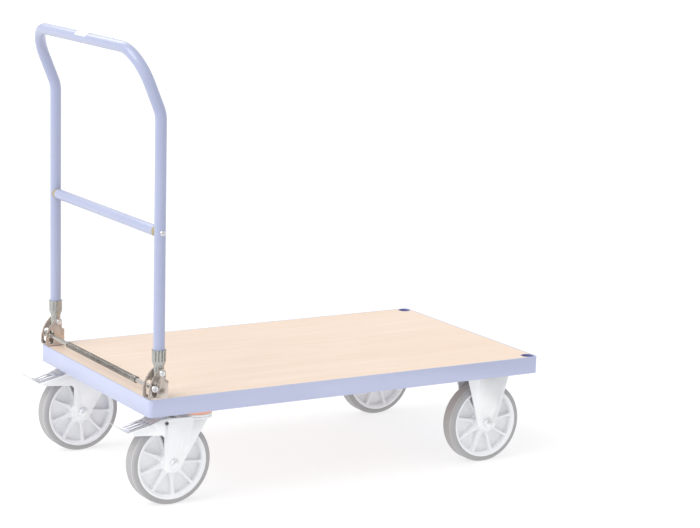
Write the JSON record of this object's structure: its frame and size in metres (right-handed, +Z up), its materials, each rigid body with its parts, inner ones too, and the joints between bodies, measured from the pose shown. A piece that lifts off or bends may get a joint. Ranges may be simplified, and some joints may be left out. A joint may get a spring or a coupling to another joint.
{
  "type": "folding platform cart",
  "caption": "Folding platform cart with a steel-framed wooden deck, a cranked tubular push handle, braked swivel castors and fixed castors.",
  "frame": {"origin": "centre of the deck's top face", "axes": "+Z up from the deck, +X along the deck away from the push handle, -Y towards the near long side"},
  "size_m": [0.8995, 0.5088, 0.8531],
  "materials": {
    "deck_wood": "satin varnished pale board, grain along the deck",
    "frame_paint": "satin silver-grey powder coat",
    "handle_tube": "satin silver-grey powder coat",
    "zinc_plate": "bright zinc plate",
    "plated_fasteners": "bright zinc plate",
    "bracket_steel": "plated sheet, warm grey",
    "socket_steel": "plated tube",
    "lock_steel": "plated rod",
    "spring_steel": "spring wire",
    "grey_tyre": "matt grey rubber",
    "wheel_nylon": "satin pale grey nylon",
    "bearing_dark": "dark bearing steel",
    "seal_orange": "satin orange seal",
    "saddle_tan": "satin tan plastic",
    "brake_rubber": "matt black",
    "label_white": "blank white film"
  },
  "bodies": {
    "platform": {"bracket_pads": "plated_fasteners", "bracket_screws": "plated_fasteners", "castor_bearer_front": "frame_paint", "castor_bearer_handle": "frame_paint", "castor_screws": "plated_fasteners", "corner_socket_far": "frame_paint", "corner_socket_near": "frame_paint", "deck_board": "deck_wood", "dust_ring_far": "seal_orange", "dust_ring_near": "seal_orange", "end_rail_front": "frame_paint", "end_rail_handle": "frame_paint", "fixed_axles": "plated_fasteners", "fixed_fork_far": "zinc_plate", "fixed_fork_near": "zinc_plate", "fold_bracket_far": "bracket_steel", "fold_bracket_near": "bracket_steel", "hinge_bolts": "plated_fasteners", "king_pins": "plated_fasteners", "middle_bearer": "frame_paint", "side_rail_far": "frame_paint", "side_rail_near": "frame_paint", "swivel_balls": "plated_fasteners", "swivel_plate_far": "zinc_plate", "swivel_plate_near": "zinc_plate"},
    "handle": {"handle_tube": "handle_tube", "crossbar": "handle_tube", "crossbar_saddle_near": "saddle_tan", "crossbar_saddle_far": "saddle_tan", "crossbar_screws": "plated_fasteners", "foot_socket_near": "socket_steel", "foot_socket_far": "socket_steel", "grip_label": "label_white"},
    "lock_bar": {"lock_bar": "lock_steel", "lock_bar_screws": "plated_fasteners", "lock_spring": "spring_steel", "spring_collar": "spring_steel"},
    "swivel_near": {"swivel_fork_near": "zinc_plate", "swivel_axle_near": "plated_fasteners", "pedal_studs_near": "zinc_plate"},
    "brake_near": {"brake_pedal_near": "zinc_plate", "brake_shoe_near": "brake_rubber"},
    "wheel_swivel_near": {"swivel_tyre_near": "grey_tyre", "swivel_rim_near": "wheel_nylon", "swivel_bearing_near": "bearing_dark"},
    "wheel_fixed_near": {"fixed_tyre_near": "grey_tyre", "fixed_rim_near": "wheel_nylon", "fixed_bearing_near": "bearing_dark"},
    "swivel_far": {"swivel_fork_far": "zinc_plate", "swivel_axle_far": "plated_fasteners", "pedal_studs_far": "zinc_plate"},
    "brake_far": {"brake_pedal_far": "zinc_plate", "brake_shoe_far": "brake_rubber"},
    "wheel_swivel_far": {"swivel_tyre_far": "grey_tyre", "swivel_rim_far": "wheel_nylon", "swivel_bearing_far": "bearing_dark"},
    "wheel_fixed_far": {"fixed_tyre_far": "grey_tyre", "fixed_rim_far": "wheel_nylon", "fixed_bearing_far": "bearing_dark"}
  },
  "joints": [
    {"name": "handle_fold", "type": "hinge", "parent": "platform", "child": "handle", "pos_m": [-0.4, 0, 0.048], "axis": [0, 1, 0], "range_deg": [0, 90]},
    {"name": "lock_bar_slide", "type": "slide", "parent": "platform", "child": "lock_bar", "axis": [0, 0, 1], "range_m": [-0.0103, 0.0054], "stiffness_N_per_m": 3000},
    {"name": "swivel_near_turn", "type": "hinge", "parent": "platform", "child": "swivel_near", "pos_m": [-0.31, -0.206, -0.04], "axis": [0, 0, 1], "continuous": true},
    {"name": "brake_near_press", "type": "hinge", "parent": "swivel_near", "child": "brake_near", "pos_m": [-0.3802, -0.206, -0.052], "axis": [0, 1, 0], "range_deg": [-8, 0]},
    {"name": "wheel_swivel_near_spin", "type": "hinge", "parent": "swivel_near", "child": "wheel_swivel_near", "pos_m": [-0.365, -0.206, -0.13], "axis": [0, 1, 0], "continuous": true},
    {"name": "wheel_fixed_near_spin", "type": "hinge", "parent": "platform", "child": "wheel_fixed_near", "pos_m": [0.322, -0.206, -0.13], "axis": [0, 1, 0], "continuous": true},
    {"name": "swivel_far_turn", "type": "hinge", "parent": "platform", "child": "swivel_far", "pos_m": [-0.31, 0.206, -0.04], "axis": [0, 0, 1], "continuous": true},
    {"name": "brake_far_press", "type": "hinge", "parent": "swivel_far", "child": "brake_far", "pos_m": [-0.3802, 0.206, -0.052], "axis": [0, 1, 0], "range_deg": [-8, 0]},
    {"name": "wheel_swivel_far_spin", "type": "hinge", "parent": "swivel_far", "child": "wheel_swivel_far", "pos_m": [-0.365, 0.206, -0.13], "axis": [0, 1, 0], "continuous": true},
    {"name": "wheel_fixed_far_spin", "type": "hinge", "parent": "platform", "child": "wheel_fixed_far", "pos_m": [0.322, 0.206, -0.13], "axis": [0, 1, 0], "continuous": true}
  ]
}
